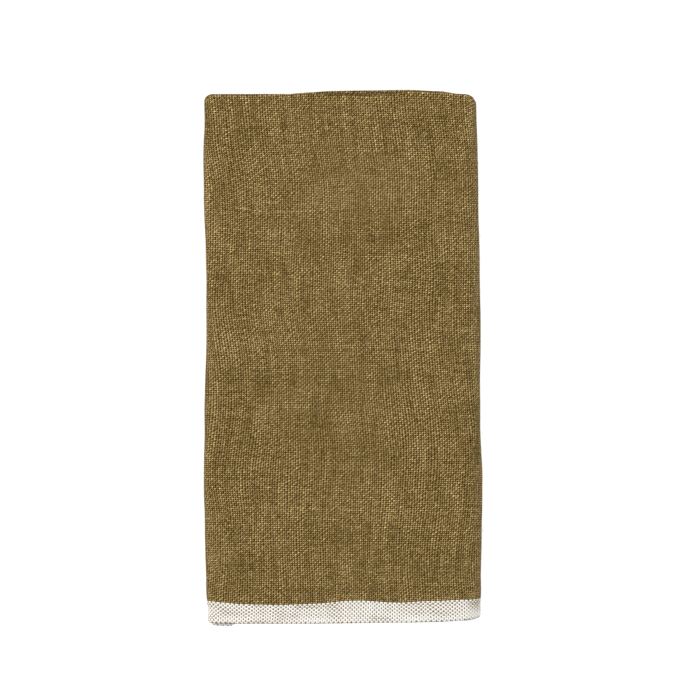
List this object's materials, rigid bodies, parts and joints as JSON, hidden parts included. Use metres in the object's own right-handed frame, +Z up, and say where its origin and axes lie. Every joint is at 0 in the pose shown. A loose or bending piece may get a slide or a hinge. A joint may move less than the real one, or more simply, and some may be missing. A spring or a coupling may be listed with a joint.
{
  "type": "folded hand towel",
  "caption": "Hand towel of coarse plain-woven cloth with a white selvedge band, doubled and letter-folded into a flat oblong stack with a folded top edge.",
  "frame": {"origin": "middle of the flat underside of the folded towel, which rests on the surface", "axes": "+Y along the folded towel towards its folded top edge, +X to the right across it as it is looked down on, +Z up out of the front layer"},
  "size_m": [0.1204, 0.2314, 0.0157],
  "materials": {
    "woven_cloth": "coarse matt plain weave in olive ochre, with a white band of about 9 mm along each selvedge",
    "selvedge_band": "matt off-white yarns of the selvedge band, crossed by the ochre weft"
  },
  "bodies": {
    "root": {"towel_cloth": "woven_cloth"}
  },
  "joints": []
}
